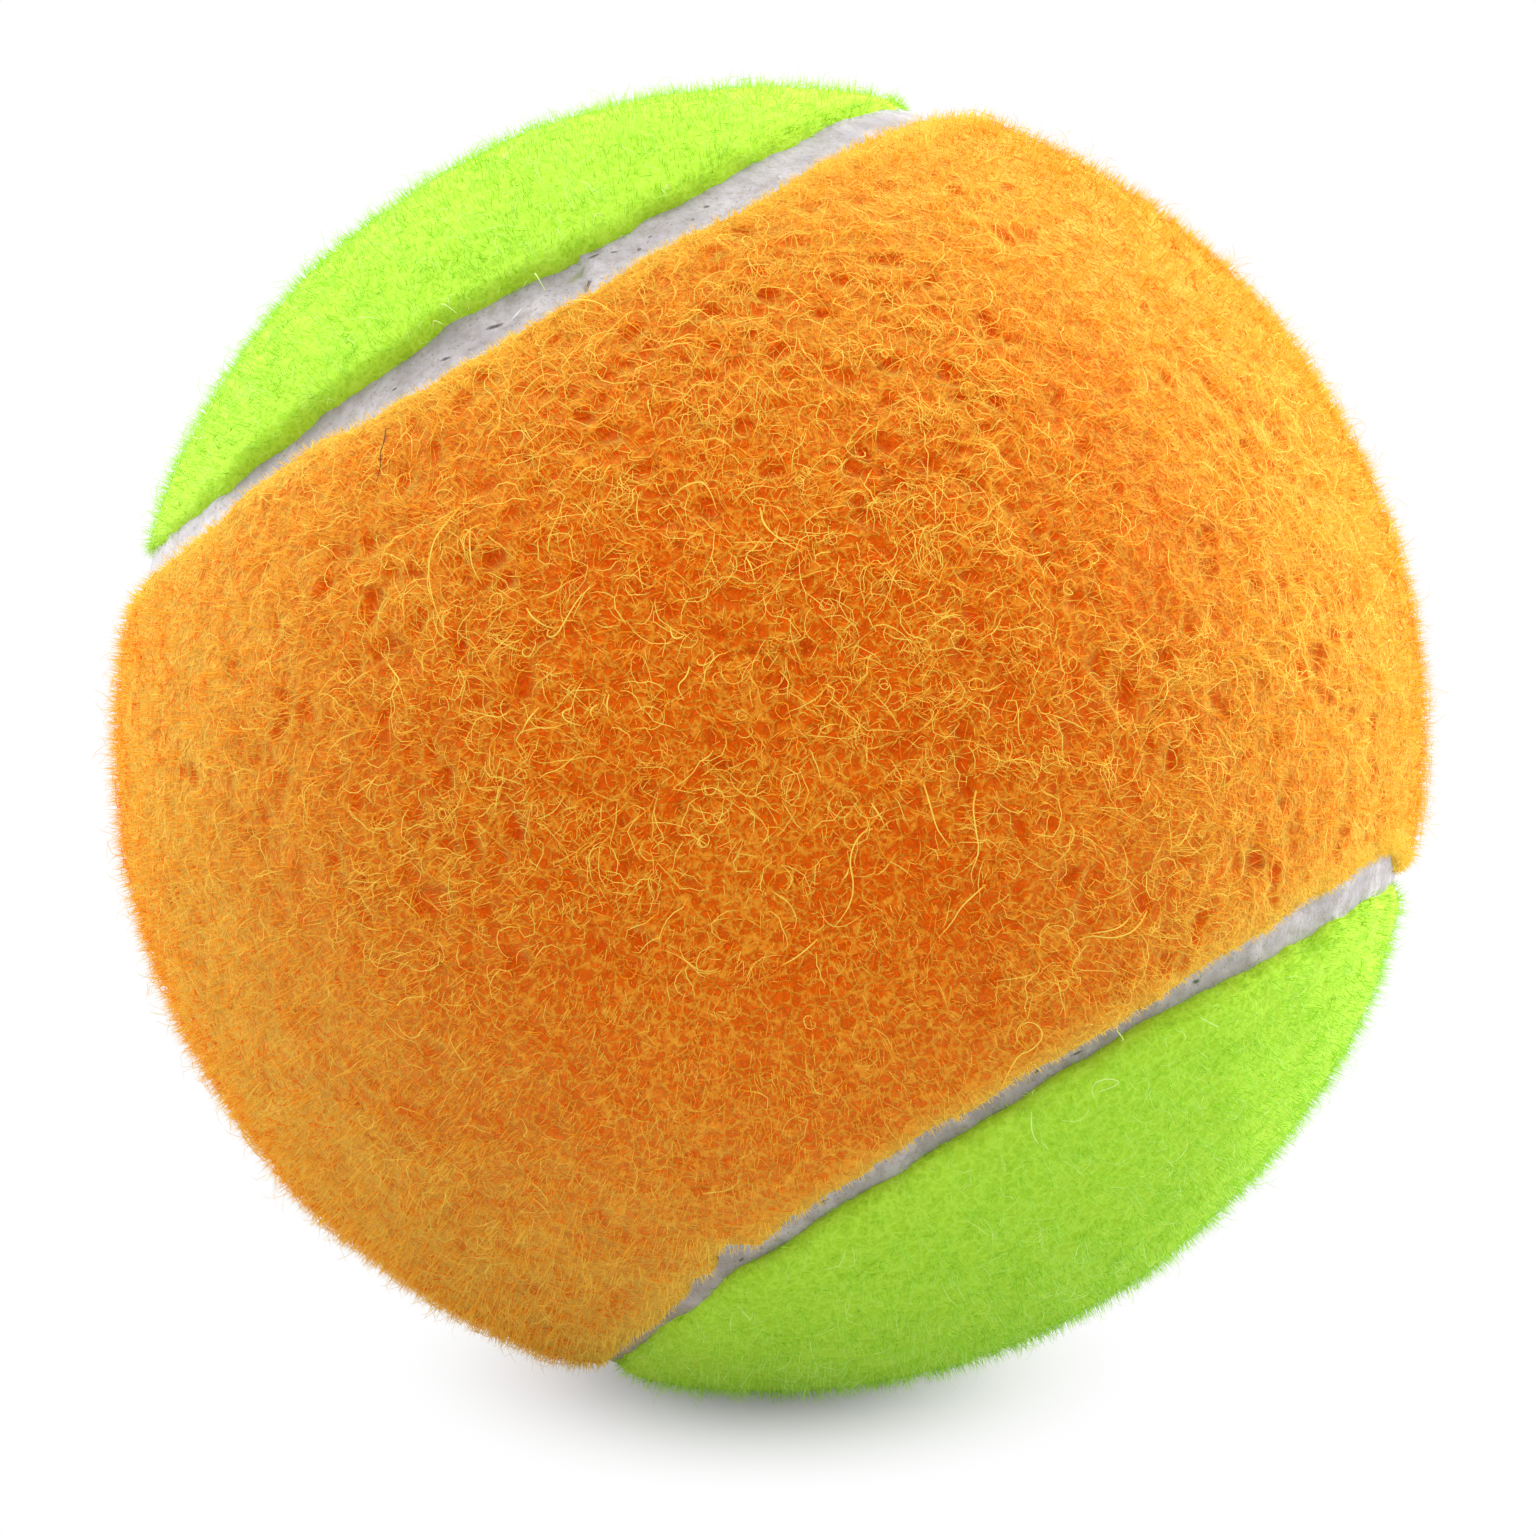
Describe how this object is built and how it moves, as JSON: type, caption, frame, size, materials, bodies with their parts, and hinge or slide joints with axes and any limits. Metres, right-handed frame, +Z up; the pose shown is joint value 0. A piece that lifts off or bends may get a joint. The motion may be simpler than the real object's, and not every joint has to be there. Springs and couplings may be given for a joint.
{
  "type": "tennis ball",
  "caption": "Low-compression tennis ball: hollow rubber core in two halves, one orange and one green dumbbell felt panel, and a closed seam of grey cement.",
  "frame": {"origin": "centre of the ball", "axes": "+Z up as pictured; the middle of the orange panel's waist faces -Y, raised 17 degrees; the ball rests on the green panel at -Z"},
  "size_m": [0.066, 0.066, 0.066],
  "materials": {
    "core_rubber": "moulded rubber, matte",
    "joint_cement": "cured rubber cement, satin",
    "panel_cement": "rubber cement coat, matte",
    "orange_felt": "napped needle felt, fuzzy",
    "green_felt": "napped needle felt, fuzzy",
    "seam_cement": "cured rubber cement, matte"
  },
  "bodies": {
    "root": {"core_half_top": "core_rubber", "core_half_bottom": "core_rubber", "core_joint_cement": "joint_cement", "orange_panel_cement": "panel_cement", "green_panel_cement": "panel_cement", "orange_felt_panel": "orange_felt", "green_felt_panel": "green_felt", "seam_cement": "seam_cement"}
  },
  "joints": []
}
